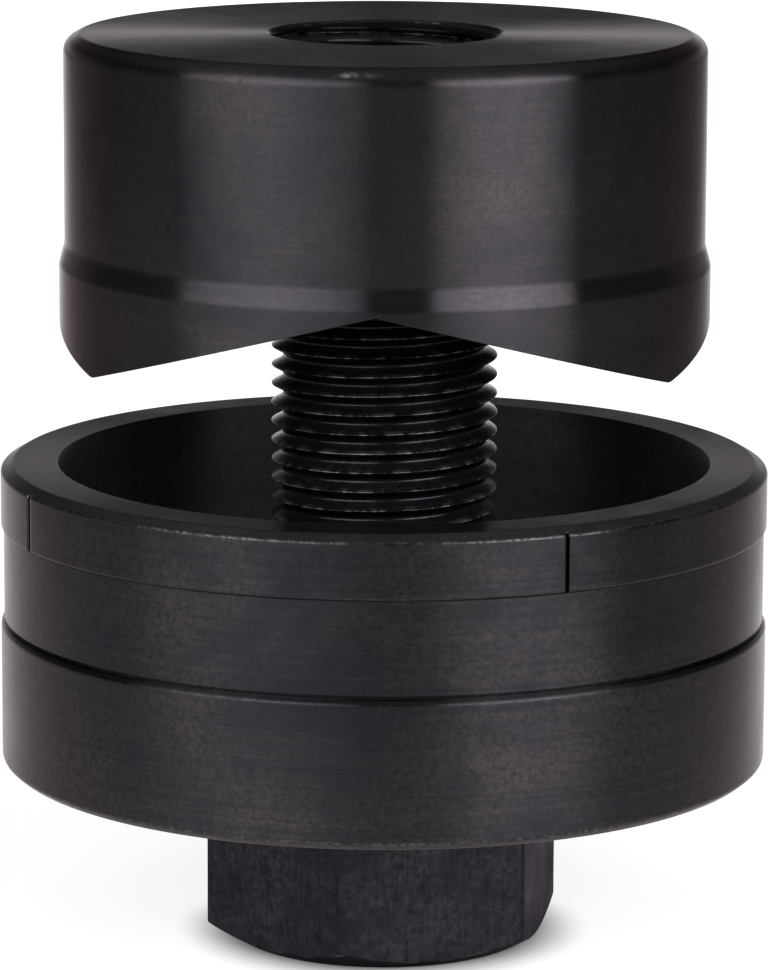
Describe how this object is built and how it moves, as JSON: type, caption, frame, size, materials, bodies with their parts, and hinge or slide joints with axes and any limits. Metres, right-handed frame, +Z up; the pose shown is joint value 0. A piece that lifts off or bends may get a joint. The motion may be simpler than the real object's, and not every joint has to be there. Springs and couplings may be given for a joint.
{
  "type": "sheet metal hole punch",
  "caption": "Screw-drawn sheet metal hole punch: a pointed round cutter, a cupped ring die and a hexagon-head draw bolt on a thrust ball bearing, in black steel.",
  "frame": {"origin": "centre of the lower face of the draw bolt's hexagon head, which the tool stands on", "axes": "+Z up along the draw bolt's axis, from the head to the punch; -Y is the side that faces the picture's camera"},
  "size_m": [0.0642, 0.0642, 0.0763],
  "materials": {
    "punch_steel": "ground, black oxide, glossy",
    "die_steel": "turned, black oxide, satin",
    "bolt_steel": "forged, black oxide, blotchy",
    "bearing_steel": "ground",
    "cage_steel": "pressed",
    "ball_steel": "polished"
  },
  "bodies": {
    "die": {"die": "die_steel", "bearing_upper_washer": "bearing_steel"},
    "draw_bolt": {"draw_bolt": "bolt_steel", "bearing_lower_washer": "bearing_steel"},
    "punch": {"punch": "punch_steel"},
    "cage": {"bearing_cage": "cage_steel"},
    "ball_01": {"bearing_ball_01": "ball_steel"},
    "ball_02": {"bearing_ball_02": "ball_steel"},
    "ball_03": {"bearing_ball_03": "ball_steel"},
    "ball_04": {"bearing_ball_04": "ball_steel"},
    "ball_05": {"bearing_ball_05": "ball_steel"},
    "ball_06": {"bearing_ball_06": "ball_steel"},
    "ball_07": {"bearing_ball_07": "ball_steel"},
    "ball_08": {"bearing_ball_08": "ball_steel"},
    "ball_09": {"bearing_ball_09": "ball_steel"},
    "ball_10": {"bearing_ball_10": "ball_steel"},
    "ball_11": {"bearing_ball_11": "ball_steel"},
    "ball_12": {"bearing_ball_12": "ball_steel"},
    "ball_13": {"bearing_ball_13": "ball_steel"},
    "ball_14": {"bearing_ball_14": "ball_steel"}
  },
  "joints": [
    {"name": "punch_slide", "type": "slide", "parent": "die", "child": "punch", "axis": [0, 0, -1], "range_m": [-0.01746, 0.02223]},
    {"name": "draw_bolt_turn", "type": "hinge", "parent": "die", "child": "draw_bolt", "pos_m": [0, 0, 0], "axis": [0, 0, 1], "range_deg": [-3964, 5044]},
    {"name": "cage_turn", "type": "hinge", "parent": "die", "child": "cage", "pos_m": [0, 0, 0.0171], "axis": [0, 0, 1], "range_deg": [-1984, 2524]},
    {"name": "ball_01_roll", "type": "hinge", "parent": "cage", "child": "ball_01", "pos_m": [0, -0.01375, 0.0171], "axis": [0, -1, 0], "range_deg": [-9804.2, 12477]},
    {"name": "ball_02_roll", "type": "hinge", "parent": "cage", "child": "ball_02", "pos_m": [0.00597, -0.01239, 0.0171], "axis": [0.4339, -0.901, 0], "range_deg": [-9804.2, 12477]},
    {"name": "ball_03_roll", "type": "hinge", "parent": "cage", "child": "ball_03", "pos_m": [0.01075, -0.00857, 0.0171], "axis": [0.7818, -0.6235, 0], "range_deg": [-9804.2, 12477]},
    {"name": "ball_04_roll", "type": "hinge", "parent": "cage", "child": "ball_04", "pos_m": [0.01341, -0.00306, 0.0171], "axis": [0.9749, -0.2225, 0], "range_deg": [-9804.2, 12477]},
    {"name": "ball_05_roll", "type": "hinge", "parent": "cage", "child": "ball_05", "pos_m": [0.01341, 0.00306, 0.0171], "axis": [0.9749, 0.2225, 0], "range_deg": [-9804.2, 12477]},
    {"name": "ball_06_roll", "type": "hinge", "parent": "cage", "child": "ball_06", "pos_m": [0.01075, 0.00857, 0.0171], "axis": [0.7818, 0.6235, 0], "range_deg": [-9804.2, 12477]},
    {"name": "ball_07_roll", "type": "hinge", "parent": "cage", "child": "ball_07", "pos_m": [0.00597, 0.01239, 0.0171], "axis": [0.4339, 0.901, 0], "range_deg": [-9804.2, 12477]},
    {"name": "ball_08_roll", "type": "hinge", "parent": "cage", "child": "ball_08", "pos_m": [0, 0.01375, 0.0171], "axis": [0, 1, 0], "range_deg": [-9804.2, 12477]},
    {"name": "ball_09_roll", "type": "hinge", "parent": "cage", "child": "ball_09", "pos_m": [-0.00597, 0.01239, 0.0171], "axis": [-0.4339, 0.901, 0], "range_deg": [-9804.2, 12477]},
    {"name": "ball_10_roll", "type": "hinge", "parent": "cage", "child": "ball_10", "pos_m": [-0.01075, 0.00857, 0.0171], "axis": [-0.7818, 0.6235, 0], "range_deg": [-9804.2, 12477]},
    {"name": "ball_11_roll", "type": "hinge", "parent": "cage", "child": "ball_11", "pos_m": [-0.01341, 0.00306, 0.0171], "axis": [-0.9749, 0.2225, 0], "range_deg": [-9804.2, 12477]},
    {"name": "ball_12_roll", "type": "hinge", "parent": "cage", "child": "ball_12", "pos_m": [-0.01341, -0.00306, 0.0171], "axis": [-0.9749, -0.2225, 0], "range_deg": [-9804.2, 12477]},
    {"name": "ball_13_roll", "type": "hinge", "parent": "cage", "child": "ball_13", "pos_m": [-0.01075, -0.00857, 0.0171], "axis": [-0.7818, -0.6235, 0], "range_deg": [-9804.2, 12477]},
    {"name": "ball_14_roll", "type": "hinge", "parent": "cage", "child": "ball_14", "pos_m": [-0.00597, -0.01239, 0.0171], "axis": [-0.4339, -0.901, 0], "range_deg": [-9804.2, 12477]}
  ],
  "couplings": [
    {"joint": "draw_bolt_turn", "follows": "punch_slide", "rad_per_m": 3957.9},
    {"joint": "cage_turn", "follows": "punch_slide", "rad_per_m": 1979},
    {"joint": "ball_01_roll", "follows": "punch_slide", "rad_per_m": 9795},
    {"joint": "ball_02_roll", "follows": "punch_slide", "rad_per_m": 9795},
    {"joint": "ball_03_roll", "follows": "punch_slide", "rad_per_m": 9795},
    {"joint": "ball_04_roll", "follows": "punch_slide", "rad_per_m": 9795},
    {"joint": "ball_05_roll", "follows": "punch_slide", "rad_per_m": 9795},
    {"joint": "ball_06_roll", "follows": "punch_slide", "rad_per_m": 9795},
    {"joint": "ball_07_roll", "follows": "punch_slide", "rad_per_m": 9795},
    {"joint": "ball_08_roll", "follows": "punch_slide", "rad_per_m": 9795},
    {"joint": "ball_09_roll", "follows": "punch_slide", "rad_per_m": 9795},
    {"joint": "ball_10_roll", "follows": "punch_slide", "rad_per_m": 9795},
    {"joint": "ball_11_roll", "follows": "punch_slide", "rad_per_m": 9795},
    {"joint": "ball_12_roll", "follows": "punch_slide", "rad_per_m": 9795},
    {"joint": "ball_13_roll", "follows": "punch_slide", "rad_per_m": 9795},
    {"joint": "ball_14_roll", "follows": "punch_slide", "rad_per_m": 9795}
  ]
}
